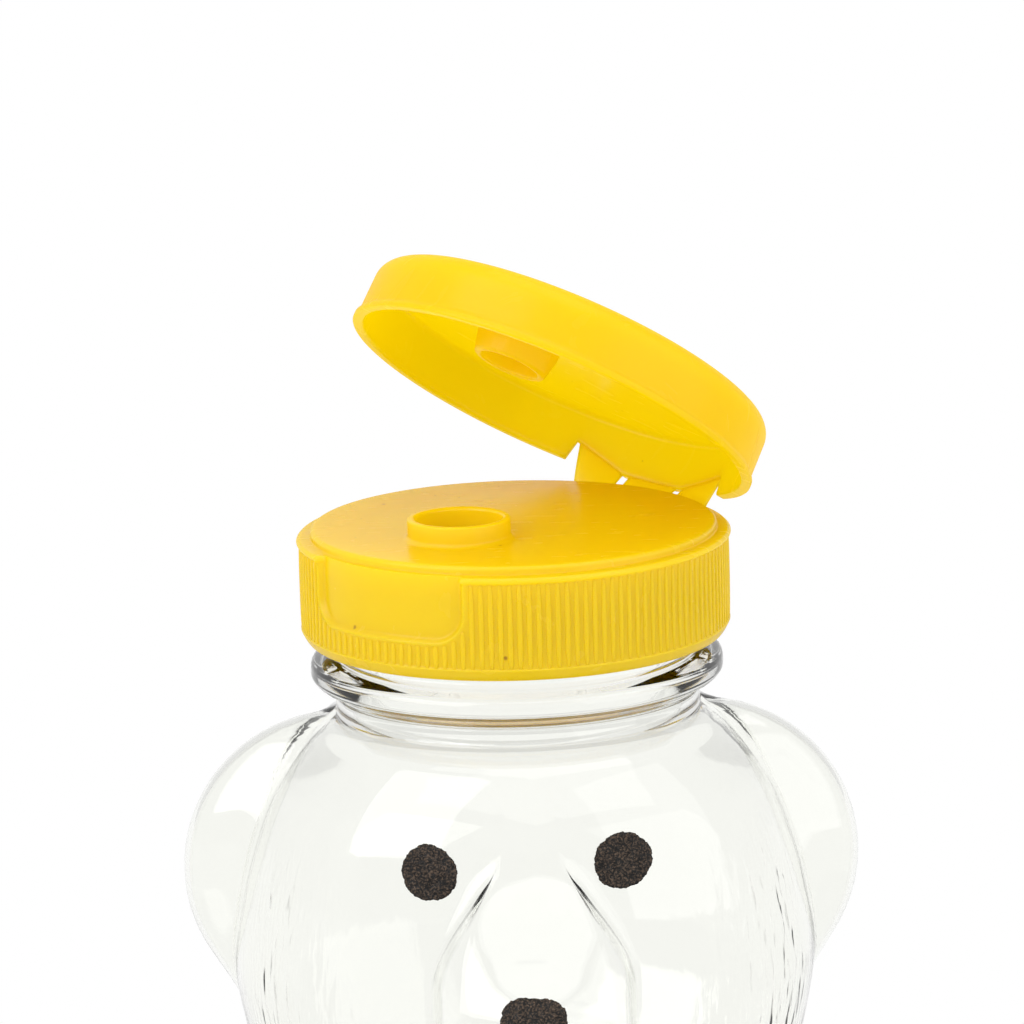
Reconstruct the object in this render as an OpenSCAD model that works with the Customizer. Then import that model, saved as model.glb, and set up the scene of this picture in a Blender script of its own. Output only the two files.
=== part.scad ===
// Bear-shaped squeeze bottle with a ribbed screw cap and a hinged flip lid.
// Millimetres. Origin at the centre of the base, +Z up, the bear faces -Y.
// The lid is drawn open, as the bottle is shown at rest.

/* [Bottle body] */
// Height of the bottle from the table to the mouth
bottle_height = 161; // [150:0.5:175]
// Distance from the mouth down to the crease under the chin
chin_drop = 58.3; // [54:0.1:62]
// Thickness of the blown wall
wall = 0.9; // [0.6:0.05:1.4]
// Depth of the push-up in the middle of the base
push_up = 2.6; // [1:0.1:5]
// Half-width of the seated hips
hip_half_width = 32.5; // [29:0.5:36]
// Half-width of the belly
belly_half_width = 31; // [28:0.5:34]
// Half-depth of the body
body_half_depth = 26.2; // [23:0.2:29]
// Half-width of the crease under the chin
crease_half_width = 22; // [19:0.5:25]

/* [Head] */
// Distance from the mouth down to the widest level of the cheeks
cheek_drop = 39.8; // [36:0.2:44]
// Half-width of the cheeks
cheek_half_width = 28.3; // [25:0.1:31]
// Half-depth of the head at the cheeks
head_half_depth = 24.2; // [21:0.1:27]
// Distance from the mouth down to the ear centres
ear_drop = 31.7; // [28:0.1:36]
// Distance of each ear centre from the middle plane
ear_offset = 17.4; // [15:0.1:20]
// Outer radius of the ears
ear_radius = 15.5; // [12:0.1:18]
// Half-thickness of the ears
ear_half_thickness = 6.2; // [4:0.1:8]
// How far the ear centres sit behind the middle
ear_setback = 1.5; // [-3:0.1:5]
// Width of the soft join between an ear and the head
ear_blend = 0.9; // [0.4:0.1:2]

/* [Face] */
// How far the muzzle stands out of the face
muzzle_reach = 9.5; // [6:0.1:12]
// Half-width of the foot of the muzzle at its widest
muzzle_half_width = 9.4; // [7:0.1:12]
// Half-width of the foot of the bridge between the eyes
bridge_half_width = 3.0; // [2:0.1:5]
// Width of the chin under the muzzle, as a share of the muzzle's
chin_narrowing = 0.55; // [0.3:0.01:1]
// Width of the steep side of the muzzle, seen from the front
muzzle_side = 1.5; // [1:0.1:4]
// How far the muzzle rises over the nose tip
muzzle_rise = 14.1; // [12:0.1:17]
// How far the muzzle falls under the nose tip
muzzle_fall = 17; // [14:0.2:20]
// How far the nose tip stands out of the muzzle
nose_reach = 1.5; // [0.5:0.1:3]
// Distance from the mouth down to the nose tip
nose_drop = 36.9; // [34:0.1:40]
// Width of the printed nose
nose_print_width = 6.2; // [4:0.1:8]
// Height of the printed nose
nose_print_height = 5.0; // [3:0.1:6]
// Distance from the nose tip down to the middle of the printed nose
nose_print_drop = 0.6; // [0:0.1:2]
// Distance from the mouth down to the middle of the eyes
eye_drop = 25.9; // [23:0.1:29]
// Half of the distance between the eye centres
eye_spacing = 9.0; // [7:0.1:11]
// Diameter of the printed left eye
eye_left_diameter = 5.1; // [4:0.1:6.5]
// Diameter of the printed right eye
eye_right_diameter = 5.5; // [4:0.1:6.5]
// Sideways slip of the print on the face
print_slip = -0.35; // [-1:0.05:1]
// Tilt of the print on the face, degrees
print_tilt = 1.8; // [-4:0.1:4]
// Thickness of the printed ink
ink_thickness = 0.15; // [0.1:0.01:0.3]

/* [Limbs] */
// How far the arms stand out of the body
arm_reach = 4.2; // [2:0.1:6]
// Half-width of the arms
arm_half_width = 8.5; // [6:0.1:11]
// How far the paws stand out of the arms
paw_reach = 1.2; // [0.5:0.1:3]
// How far the legs stand out of the body
leg_reach = 5.0; // [2:0.1:8]
// Half-width of the legs
leg_half_width = 12; // [8:0.5:15]
// How far the feet stand out of the legs
foot_reach = 3.0; // [1:0.1:5]

/* [Neck finish] */
// Outer radius of the neck wall under the thread
neck_radius = 17.57; // [17:0.01:18]
// Thickness of the neck wall
neck_wall = 2.17; // [1.6:0.01:2.6]
// Height of the bottle thread over the neck wall
thread_height = 1.08; // [0.8:0.01:1.3]
// Width of the bottle thread at its root
thread_width = 2.0; // [1.4:0.05:2.6]
// Pitch of the screw thread
thread_pitch = 4.233; // [3.8:0.001:4.6]
// Distance from the mouth down to the start of the thread
thread_drop = 6.2; // [5.5:0.05:7]
// Distance from the mouth down to the support collar
finish_height = 10.1; // [9.5:0.05:11]
// How far the support collar stands out of the neck
collar_reach = 2.43; // [2:0.01:3]
// Height of the straight face of the support collar
collar_height = 2.4; // [1.5:0.1:4]
// Height of the slope under the support collar
collar_slope = 2.1; // [1:0.1:3]
// Distance from the support collar down to the shoulder
shoulder_drop = 3.2; // [2.8:0.1:4.5]

/* [Cap base] */
// Thickness of the skirt over the ribs
skirt_thickness = 1.8; // [1.4:0.05:2.4]
// Depth of the grip ribs
rib_depth = 0.22; // [0.15:0.01:0.5]
// Number of rib positions round the cap
rib_count = 144; // [96:12:180]
// Height from the deck down to the lower edge of the skirt
cap_height = 10.75; // [10:0.01:12]
// Height of the plain hem under the ribs
hem_height = 1.25; // [0.8:0.05:2]
// How far the bead over the ribs stands out
bead_reach = 0.1; // [0.05:0.01:0.3]
// Width of the shoulder round the raised deck
shoulder_width = 1.25; // [1:0.05:1.6]
// Height of the deck over the shoulder that the lid closes on
deck_step = 0.83; // [0.5:0.01:1.5]
// Thickness of the deck
deck_thickness = 1.4; // [1:0.05:2]
// Height of the cap's thread over the wall inside the skirt
cap_thread_height = 1.1; // [0.8:0.01:1.3]
// Distance of the cap's thread under the bottle's thread
thread_offset = 1.65; // [1.4:0.01:1.9]
// Small chamfer on the moulded edges of the closure
edge = 0.25; // [0.15:0.01:0.3]
// Turn of the cap on the neck, degrees
cap_clocking = 40.8; // [0:0.1:360]

/* [Spout and thumb recess] */
// Distance of the spout from the cap centre, away from the hinge
spout_offset = 8.15; // [6:0.05:10]
// Bore radius of the spout
spout_bore_radius = 4.15; // [3:0.01:5]
// Wall of the spout
spout_wall = 0.75; // [0.5:0.05:1.2]
// Height of the spout over the deck
spout_height = 2.0; // [1.2:0.05:3]
// Half-width of the thumb recess
recess_half_width = 8.6; // [6:0.1:11]
// Depth of the thumb recess into the skirt
recess_depth = 0.75; // [0.4:0.05:1.1]
// Distance from the deck down to the lower edge of the recess
recess_drop = 7.0; // [6:0.1:9]
// Rounding of the lower corners of the recess
recess_corner = 2.6; // [1:0.1:4]
// Width of the raised rim round the recess
recess_rim = 0.35; // [0.2:0.05:0.6]
// Radius of the two small catches on the shoulder
catch_radius = 0.45; // [0.3:0.01:0.6]

/* [Flip lid] */
// How far the lid's lip stands out over the cap's ribs
lip_reach = 0.07; // [0:0.01:0.3]
// Height of the lid's lip
lip_height = 0.75; // [0.5:0.05:1.2]
// How far the lid wall over the lip is set in from the cap's ribs
lid_inset = 0.25; // [0.1:0.01:0.6]
// Height of the lid roof over the deck when it is shut
lid_rise = 5.63; // [4.5:0.01:7]
// Thickness of the lid wall
lid_wall = 1.0; // [0.8:0.05:1.3]
// Thickness of the lid roof
lid_roof = 1.2; // [0.8:0.05:1.6]
// Rounding of the lid's top edge
lid_round = 1.9; // [0.5:0.1:2.5]
// Thickness of the wall of the hollow plug
plug_wall = 1.15; // [0.7:0.05:1.5]
// How far the shut plug reaches under the top of the deck
plug_reach = 0.3; // [0:0.05:0.6]
// Opening of the lid as it is drawn, degrees
lid_open = 34.5; // [0:0.5:170]

/* [Living hinge] */
// Distance of the hinge line outside the cap's ribs
hinge_stand = 0.24; // [0.1:0.01:2]
// Distance of the hinge line under the deck
hinge_drop = 3.59; // [1:0.05:4]
// Turn of the hinge line from the middle of the hinge as its film twists, degrees
hinge_twist = 8.5; // [0:0.5:12]
// Half-width of the whole hinge
hinge_half_width = 7.6; // [5:0.1:10]
// Half-width of the middle band
band_half_width = 3.0; // [2:0.1:5]
// Gap between the band and each wing
hinge_hole = 0.8; // [0.4:0.05:1.5]
// Room at the outer end of each wing
wing_room = 0.5; // [0.3:0.05:0.8]
// How far the wings reach down the skirt under the shoulder
wing_drop = 2.3; // [1:0.1:4]
// How far the wings reach up the lid over the deck
wing_rise = 1.35; // [0.5:0.05:3]
// Height of the gap that the flat film spans between the shut lid and the cap
film_gap = 0.7; // [0.4:0.05:1]
// Thickness of the flexible pieces
film = 0.5; // [0.3:0.05:0.8]

/* [Fits] */
// Radial clearance between the bottle's thread and the wall inside the cap
thread_clearance = 0.3; // [0.2:0.01:0.5]
// Gap between the shut lid and the shoulder
lid_gap = 0.1; // [0.05:0.01:0.3]
// Radial clearance of the plug in the spout
plug_clearance = 0.08; // [0.04:0.01:0.1]
// Gap under and over the seal ring
seal_gap = 0.02; // [0.01:0.01:0.05]
// Gap between the ends of the hinge film and its slots
film_seat = 0.03; // [0.02:0.01:0.1]
// Gap between the printed ink and the shell
ink_seat = 0.05; // [0.01:0.01:0.08]

/* [Seal ring] */
// Thickness of the foam seal ring
seal_thickness = 0.8; // [0.5:0.05:1.2]
// Width of the foam seal ring
seal_width = 4.8; // [3:0.1:6]
// Radial room round the seal ring inside the cap
seal_room = 0.6; // [0.2:0.05:1]

/* [Hidden] */
yellow = [0.98, 0.80, 0.07];
ink = [0.13, 0.10, 0.09];
clear = [0.93, 0.96, 0.95, 0.3];
foam = [0.92, 0.92, 0.90];

// Levels of the bottle.
collar_top_z = bottle_height - finish_height;
collar_low_z = collar_top_z - collar_height;
neck_root_z = collar_low_z - shoulder_drop;
chin_z = bottle_height - chin_drop;
cheek_z = bottle_height - cheek_drop;
ear_z = bottle_height - ear_drop;
nose_z = bottle_height - nose_drop;
deck_z = bottle_height + seal_thickness + deck_thickness;

// Radii that follow from the neck.
mouth_radius = neck_radius - neck_wall;
thread_radius = neck_radius + thread_height;
collar_radius = neck_radius + collar_reach;
cap_bore_radius = thread_radius + thread_clearance;
cap_thread_radius = cap_bore_radius - cap_thread_height;
cap_radius = cap_bore_radius + skirt_thickness;
rib_root_radius = cap_radius - rib_depth;
deck_radius = cap_radius - shoulder_width;
lip_radius = cap_radius + lip_reach;
lid_radius = cap_radius - lid_inset;
hinge_radius = cap_radius + hinge_stand;
film_radius = rib_root_radius - film / 4;

function clamp(v) = min(1, max(0, v));
function smooth(v) = let(c = clamp(v)) c * c * (3 - 2 * c);
function smooth_max(a, b, k) = let(h = max(k - abs(a - b), 0)) max(a, b) + h * h / (4 * k);
function between(a, b, t) = a + (b - a) * t;
function turned(p, a) = [p.x * cos(a) - p.y * sin(a), p.x * sin(a) + p.y * cos(a), p.z];

// Sections of the body, bottom to top: height, half-width, front depth, back depth, squareness.
function body_section(share, width, front, back, square) =
    [chin_z * share, width, body_half_depth * front, body_half_depth * back, square];
function cheek_section(share, width, front, back, square) =
    [between(chin_z, cheek_z, share), cheek_half_width * width, head_half_depth * front,
     head_half_depth * back, square];
function crown_section(share, width, front, back, square) =
    [between(cheek_z, neck_root_z, share), cheek_half_width * width, head_half_depth * front,
     head_half_depth * back, square];
function neck_section(share, radius) =
    [between(neck_root_z, collar_low_z, share), radius, radius, radius, 2];
sections = [
    body_section(0, hip_half_width * 0.889, 0.855, 0.855, 2.35),
    body_section(0.011, hip_half_width * 0.945, 0.924, 0.924, 2.35),
    body_section(0.044, hip_half_width * 0.988, 0.970, 0.977, 2.35),
    body_section(0.214, hip_half_width, 0.985, 1, 2.3),
    body_section(0.487, belly_half_width, 1.015, 0.970, 2.25),
    body_section(0.720, belly_half_width * 0.890, 0.947, 0.893, 2.2),
    body_section(0.886, belly_half_width * 0.774, 0.794, 0.771, 2.15),
    body_section(1, crease_half_width, 0.695, 0.702, 2.1),
    cheek_section(0.270, 0.883, 0.876, 0.860, 2.1),
    cheek_section(0.595, 0.961, 0.975, 0.942, 2.1),
    cheek_section(1, 1, 1, 0.975, 2.1),
    crown_section(0.290, 0.968, 0.992, 0.967, 2.1),
    crown_section(0.560, 0.905, 0.959, 0.934, 2.08),
    crown_section(0.768, 0.816, 0.905, 0.888, 2.05),
    crown_section(0.929, 0.709, 0.822, 0.818, 2),
    neck_section(0, neck_radius + wall / 6),
    neck_section(0.19, neck_radius - wall / 9),
];
last = len(sections) - 1;

function slope(i, c) = (sections[i + 1][c] - sections[i][c]) / (sections[i + 1][0] - sections[i][0]);
// Slope of the outline at a section, limited so that it never overshoots between two of them.
function tangent(i, c) =
    i == 0 ? slope(0, c) : i == last ? slope(last - 1, c)
    : let(p = slope(i - 1, c), q = slope(i, c)) p * q <= 0 ? 0 : 2 * p * q / (p + q);
function section_under(z, i = 0) =
    i >= last - 1 || z < sections[i + 1][0] ? i : section_under(z, i + 1);
function outline(z, c, i) =
    let(h = sections[i + 1][0] - sections[i][0], t = clamp((z - sections[i][0]) / h))
    sections[i][c] * (1 + 2 * t) * (1 - t) * (1 - t) + tangent(i, c) * h * t * (1 - t) * (1 - t)
    + sections[i + 1][c] * t * t * (3 - 2 * t) + tangent(i + 1, c) * h * t * t * (t - 1);

// Radius of a rounded ring at angle a, which is measured from the face (-Y) towards +X.
function ring_radius(a, width, depth, square) =
    pow(pow(abs(sin(a)) / width, square) + pow(abs(cos(a)) / depth, square), -1 / square);

// Where a ray from the axis leaves an ear, or 0 if it misses the ear.
function ear_exit(a, z, inset) =
    let(tall = ear_radius - inset, thick = ear_half_thickness - inset, s = abs(sin(a)), c = -cos(a),
        k = 1 - pow((z - ear_z) / tall, 2),
        qa = s * s / tall / tall + c * c / thick / thick,
        qb = -2 * (s * ear_offset / tall / tall + c * ear_setback / thick / thick),
        qc = pow(ear_offset / tall, 2) + pow(ear_setback / thick, 2) - k,
        root = qb * qb - 4 * qa * qc)
    k <= 0 || root <= 0 ? 0 : max(0, (-qb + sqrt(root)) / 2 / qa);

// Muzzle and nose, as height over the face at x and z, measured straight to the front.
function muzzle_width(z) =
    between(bridge_half_width, muzzle_half_width, smooth((nose_z + muzzle_rise - z) / muzzle_rise))
    * between(1, chin_narrowing, smooth((nose_z - z) / muzzle_fall * 1.8 - 0.8));
function muzzle_height(z) =
    muzzle_reach * smooth((nose_z + muzzle_rise * 1.24 - z) / (muzzle_rise * 1.35))
    * smooth((z - nose_z + muzzle_fall) / (muzzle_fall * 0.56));
function nose_tip(x, z) =
    nose_reach * smooth(1.35 - norm([x / nose_print_width, (z - nose_z) / nose_print_height]) * 1.4);
function muzzle(x, z, inset) =
    muzzle_height(z) * smooth((muzzle_width(z) - inset - abs(x)) / muzzle_side)
    * (1 - 0.12 * pow(x / muzzle_half_width, 2)) + nose_tip(x, z);

// Distance from the axis to the face along a ray at angle a, found by halving.
function face_radius(a, z, inset, width, depth, square, near, far, halvings = 13) =
    let(r = (near + far) / 2, x = abs(r * sin(a)),
        face = depth * pow(max(0, 1 - pow(x / width, square)), 1 / square) + muzzle(x, z, inset),
        short = r * cos(a) < face)
    halvings == 0 ? r
    : face_radius(a, z, inset, width, depth, square, short ? r : near, short ? far : r, halvings - 1);

// Limbs, as ridges along a path on the unrolled surface.
unroll_radius = (belly_half_width + body_half_depth) / 2;
function limb_point(angle, share) = [unroll_radius * angle * PI / 180, chin_z * share];
shoulder_point = limb_point(86, 0.837);
elbow_point = limb_point(78, 0.604);
paw_point = limb_point(27.6, 0.682);
hip_point = limb_point(82, 0.185);
foot_point = limb_point(30.7, 0.151);
function path_distance(p, a, b) =
    let(t = clamp((p - a) * (b - a) / ((b - a) * (b - a)))) norm(p - a - t * (b - a));
function ridge(distance, width, height) =
    distance >= width ? 0 : height * pow(1 - pow(distance / width, 2), 1.5);
function limbs(a, z) =
    let(p = limb_point(abs(a > 180 ? a - 360 : a), z / chin_z),
        arm = min(path_distance(p, shoulder_point, elbow_point), path_distance(p, elbow_point, paw_point)),
        leg = path_distance(p, hip_point, foot_point))
    max(ridge(arm, arm_half_width, arm_reach)
            + ridge(norm(p - paw_point), arm_half_width * 0.76, paw_reach),
        ridge(leg, leg_half_width, leg_reach)
            + ridge(norm(p - foot_point), leg_half_width * 0.87, foot_reach));

// The wall thickens from the blown body up to the neck.
function wall_at(z) = between(wall, neck_wall, smooth(1 - (neck_root_z - z) / shoulder_drop / 2));

// Outer surface at inset 0, inner surface at inset = the wall's thickness.
function body_radius(a, z, inset = 0) =
    let(i = section_under(z), square = outline(z, 4, i), width = outline(z, 1, i) - inset,
        depth = outline(z, cos(a) > 0 ? 2 : 3, i) - inset,
        ring = ring_radius(a, width, depth, square),
        ear = abs(sin(a)) > 0.7 ? ear_exit(a, z, inset) : 0)
    z < chin_z ? ring + limbs(a, z)
    : cos(a) > 0.75 ? face_radius(a, z, inset, width, depth, square, ring, ring * 1.6)
    : ear > 0 ? smooth_max(ring, ear, ear_blend) : ring;
function body_point(a, z, inset = 0) = let(r = body_radius(a, z, inset)) [r * sin(a), -r * cos(a), z];

// Angles of the points round the shell. They follow the sides of the muzzle and are dense on the ears.
function side_angle(z, inset, share) =
    atan2(muzzle_width(z) - inset - muzzle_side * share,
          head_half_depth - inset + muzzle_height(z) * smooth(share));
cheek_end = 36;
function face_angles(z, inset, spread) = concat(
    [for (k = [0, 0.35, 0.7]) k * side_angle(z, inset, 1)],
    [for (k = [4:-1:0]) side_angle(z, inset, k / 4)],
    [for (k = [1:spread]) between(side_angle(z, inset, 0), cheek_end, k / spread)]);
side_angles = concat([for (a = [42.5:6.5:72]) a], [for (a = [76:2.5:108.5]) a], [for (a = [114:9.5:171]) a]);
coarse_side_angles = [for (i = [1:2:len(side_angles) - 1]) side_angles[i]];
function both_sides(half) = concat(half, [180], [for (i = [len(half) - 1:-1:1]) 360 - half[i]]);
function outer_angles(z) = both_sides(concat(face_angles(z, 0, 4), side_angles));
function inner_angles(z) = both_sides(concat(face_angles(z, wall, 2), coarse_side_angles));
base_share = [0, 0.004, 0.011, 0.023];
foot_z = chin_z * 0.044;
crown_z = between(cheek_z, neck_root_z, 0.92);
torso_outer_heights = concat(chin_z * base_share, [for (i = [0:26]) between(foot_z, chin_z, i / 26)]);
torso_inner_heights = [for (i = [0:17]) between(wall * 1.7, chin_z, i / 17)];
head_outer_heights = concat(
    [for (i = [0:21]) between(chin_z, crown_z, i / 21)],
    [between(crown_z, neck_root_z, 0.5), neck_root_z, neck_root_z + wall / 2]);
head_inner_heights = concat(
    [for (i = [0:12]) between(chin_z, crown_z, i / 12)],
    [between(crown_z, neck_root_z, 0.5), neck_root_z - wall / 3]);

function ring_points(list, z, inset) = [for (a = list) body_point(a, z, inset)];
// A ring of the body at height z, shrunk towards the axis and set at another height.
function shrunk(list, z, inset, share, at) =
    [for (a = list) let(p = body_point(a, z, inset)) [p.x * share, p.y * share, at]];

// Closed skin over a stack of rings with the same number of points, capped at both ends.
function skin_faces(rings, n) = concat(
    [for (i = [0:rings - 2]) for (j = [0:n - 1]) let(a = i * n + j, b = i * n + (j + 1) % n)
        each [[a, a + n, b], [b, a + n, b + n]]],
    [[for (j = [0:n - 1]) j]],
    [[for (j = [n - 1:-1:0]) (rings - 1) * n + j]]);
module skin(stack) {
    polyhedron([for (ring = stack) each ring], skin_faces(len(stack), len(stack[0])));
}

// The shell is one moulding, drawn as two nodes that meet face to face at the crease under the chin.
// The base rises from its standing ring to the push-up in the middle.
push_up_rings = [[0.3, 1], [0.62, 0.62], [0.86, 0]];
module torso_solid() {
    skin(concat(
        [for (p = push_up_rings) shrunk(outer_angles(0), 0, 0, p[0], push_up * p[1])],
        [for (z = torso_outer_heights) ring_points(outer_angles(z), z, 0)]));
}

// The hollows run on through the crease by one wall, so that both nodes are open there.
module torso_hollow() {
    skin(concat(
        [for (p = push_up_rings) shrunk(inner_angles(wall), wall, wall, p[0] * 0.98, push_up * p[1] + wall)],
        [for (z = torso_inner_heights) ring_points(inner_angles(z), z, wall)],
        [shrunk(inner_angles(chin_z), chin_z, wall, 1, chin_z + wall)]));
}

module head_solid() {
    skin([for (z = head_outer_heights) ring_points(outer_angles(z), z, 0)]);
}

module head_hollow() {
    skin(concat(
        [shrunk(inner_angles(chin_z), chin_z, wall, 1, chin_z - wall)],
        [for (z = head_inner_heights) ring_points(inner_angles(z), z, wall_at(z))]));
}

// Helical ridge between two angles, pointing outwards (side 1) or inwards (side -1).
module helix(root, crest, z0, from, to, width, side) {
    steps = ceil((to - from) / 9);
    sunk = (crest - root) / 4;
    skin([for (i = [0:steps])
        let(t = between(from, to, i / steps), z = z0 + thread_pitch * t / 360,
            full = smooth(min(t - from, to - t) / 26), r = between(root - sunk, crest, full),
            w = width / 2 * between(0.4, 1, full), q = root - 2 * sunk)
        [[q * cos(t), q * sin(t), z + side * w], [r * cos(t), r * sin(t), z + side * w / 2],
         [r * cos(t), r * sin(t), z - side * w / 2], [q * cos(t), q * sin(t), z - side * w]]]);
}

module neck_outside() {
    rotate_extrude($fn = 144)
        polygon([[0, neck_root_z - wall / 2], [neck_radius, neck_root_z - wall / 2],
                 [neck_radius, collar_low_z - collar_slope], [collar_radius - edge, collar_low_z - edge],
                 [collar_radius, collar_low_z], [collar_radius, collar_top_z - edge],
                 [collar_radius - edge, collar_top_z], [neck_radius, collar_top_z],
                 [neck_radius, bottle_height - edge], [neck_radius - edge, bottle_height],
                 [0, bottle_height]]);
}

module bottle_torso() {
    color(clear)
        difference() {
            torso_solid();
            torso_hollow();
        }
}

module bottle_head() {
    color(clear)
        difference() {
            union() {
                head_solid();
                neck_outside();
                helix(neck_radius, thread_radius, bottle_height - thread_drop, 0, 365, thread_width, 1);
            }
            head_hollow();
            translate([0, 0, neck_root_z - wall])
                cylinder(r = mouth_radius, h = bottle_height - neck_root_z + 2 * wall, $fn = 144);
        }
}

// Printed face: patches of ink that follow the shell. u and v are measured from the middle of the eyes.
function print_point(u, v, lift) =
    let(p = turned([u, v, 0], print_tilt), x = print_slip + p.x, z = bottle_height - eye_drop + p.y,
        a0 = asin(x / head_half_depth), a1 = asin(x / body_radius(a0, z)), a2 = asin(x / body_radius(a1, z)),
        a = asin(x / body_radius(a2, z)), r = body_radius(a, z) + lift)
    [r * sin(a), -r * cos(a), z];

// Oval patch; a squareness over 2 flattens its sides.
module print_patch(u0, v0, width, height, square = 2) {
    count = 32;
    shares = [0.02, 0.4, 0.75, 1];
    function bent(s) = sign(s) * pow(abs(s), 2 / square);
    function loop(k, lift) = [for (j = [0:count - 1])
        let(t = 360 * j / count)
        print_point(u0 + width / 2 * k * bent(cos(t)), v0 + height / 2 * k * bent(sin(t)), lift)];
    skin(concat([for (k = shares) loop(k, ink_seat)],
                [for (i = [len(shares) - 1:-1:0]) loop(shares[i], ink_seat + ink_thickness)]));
}

module eye_left() {
    color(ink)
        print_patch(-eye_spacing, 0, eye_left_diameter, eye_left_diameter);
}

module eye_right() {
    color(ink)
        print_patch(eye_spacing, 0, eye_right_diameter, eye_right_diameter * 0.92);
}

module nose() {
    color(ink)
        print_patch(0, eye_drop - nose_drop - nose_print_drop, nose_print_width, nose_print_height, 2.8);
}

// Local frame of the closure: origin on the deck, +X towards the hinge.
module on_cap() {
    translate([0, 0, deck_z]) rotate([0, 0, 90 - cap_clocking]) children();
}

// Prism with a given outline in (y, z), reaching out along +X.
module radial_prism(points) {
    rotate([90, 0, 90]) linear_extrude(height = cap_radius * 1.3) polygon(points);
}

function arc(x, y, r, from, to, steps = 6) =
    [for (i = [0:steps]) let(a = between(from, to, i / steps)) [x + r * cos(a), y + r * sin(a)]];

// Outline of the thumb recess, open at the top.
function recess_outline(grow) =
    let(w = recess_half_width + grow, low = -recess_drop - grow, r = recess_corner)
    concat(arc(-w + r, low + r, r, 180, 270), arc(w - r, low + r, r, 270, 360),
           [[w, deck_step], [-w, deck_step]]);

module tube(outer, inner, low, high) {
    rotate_extrude($fn = 180)
        translate([inner, low])
            square([outer - inner, high - low]);
}

// Grip ribs, as one star-shaped ring.
module ribs() {
    pitch = 360 / rib_count;
    buried = rib_root_radius - rib_depth / 2;
    corners = [[-0.45, buried], [-0.17, cap_radius], [0.17, cap_radius], [0.45, buried]];
    translate([0, 0, -cap_height + hem_height])
        linear_extrude(height = cap_height - hem_height - deck_step - 2 * edge)
            difference() {
                polygon([for (i = [0:rib_count - 1]) for (c = corners)
                    [c[1] * cos(pitch * (i + c[0])), c[1] * sin(pitch * (i + c[0]))]]);
                circle(r = buried - rib_depth, $fn = 180);
            }
}

// Slot in the skirt for the wings of the hinge, as an outline in (y, z).
slot_half_width = hinge_half_width + wing_room;
wing_inner = band_half_width + hinge_hole;
cap_film_z = -deck_step - film_gap / 2;
lid_film_z = -deck_step + film_gap / 2;
slot_low = -deck_step - wing_drop;
cap_slot = [[-slot_half_width, deck_step], [-slot_half_width, slot_low], [-wing_inner, cap_film_z],
            [wing_inner, cap_film_z], [slot_half_width, slot_low], [slot_half_width, deck_step]];
lid_slot = [[-slot_half_width, slot_low], [slot_half_width, slot_low], [slot_half_width, wing_rise],
            [wing_inner, lid_film_z], [-wing_inner, lid_film_z], [-slot_half_width, wing_rise]];

module cap_shell() {
    bead_radius = cap_radius + bead_reach;
    rotate_extrude($fn = 180)
        polygon([[0, 0], [deck_radius - edge, 0], [deck_radius, -edge], [deck_radius, -deck_step],
                 [bead_radius - edge, -deck_step], [bead_radius, -deck_step - edge],
                 [bead_radius, -deck_step - 2 * edge], [rib_root_radius, -deck_step - 3 * edge],
                 [rib_root_radius, -cap_height + hem_height],
                 [cap_radius - edge / 4, -cap_height + hem_height - edge / 2],
                 [cap_radius - 1.8 * edge, -cap_height + 1.6 * edge], [cap_radius - 3 * edge, -cap_height],
                 [cap_bore_radius + edge, -cap_height], [cap_bore_radius, -cap_height + edge],
                 [cap_bore_radius, -deck_thickness], [0, -deck_thickness]]);
}

// Depth that the recess and the hinge slot reach in from the ribs.
slot_depth = film * 2.4;

module cap_base() {
    hem_z = -cap_height + hem_height - edge / 2;
    catch_angle = 32;
    color(yellow) on_cap()
        difference() {
            union() {
                difference() {
                    union() {
                        cap_shell();
                        ribs();
                        intersection() {
                            tube(cap_radius + edge / 4, cap_bore_radius + edge, hem_z, -deck_step - edge);
                            rotate([0, 0, 180]) radial_prism(recess_outline(recess_rim));
                        }
                    }
                    intersection() {
                        tube(cap_radius * 1.1, cap_radius - recess_depth, hem_z, deck_step);
                        rotate([0, 0, 180]) radial_prism(recess_outline(0));
                    }
                    intersection() {
                        tube(cap_radius * 1.1, cap_radius - slot_depth, hem_z, deck_step);
                        radial_prism(cap_slot);
                    }
                }
                translate([-spout_offset, 0, -deck_thickness / 2])
                    cylinder(r = spout_bore_radius + spout_wall,
                             h = spout_height + deck_thickness / 2, $fn = 72);
                for (side = [-1, 1])
                    translate([-cap_radius * cos(catch_angle), side * cap_radius * sin(catch_angle),
                               -deck_step - 3 * edge])
                        sphere(r = catch_radius, $fn = 24);
                translate([0, 0, -deck_z])
                    rotate([0, 0, cap_clocking - 90])
                        helix(cap_bore_radius, cap_thread_radius, bottle_height - thread_drop - thread_offset,
                              62, 340, thread_width * 0.9, -1);
            }
            translate([-spout_offset, 0, -2 * deck_thickness])
                cylinder(r = spout_bore_radius, h = 2 * (deck_thickness + spout_height), $fn = 72);
        }
}

// Places what is drawn for the shut lid in its open position.
module on_lid() {
    on_cap()
        rotate([0, 0, -hinge_twist])
            translate([hinge_radius, 0, -hinge_drop])
                rotate([0, lid_open, 0])
                    translate([-hinge_radius, 0, hinge_drop])
                        rotate([0, 0, hinge_twist])
                            children();
}

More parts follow.
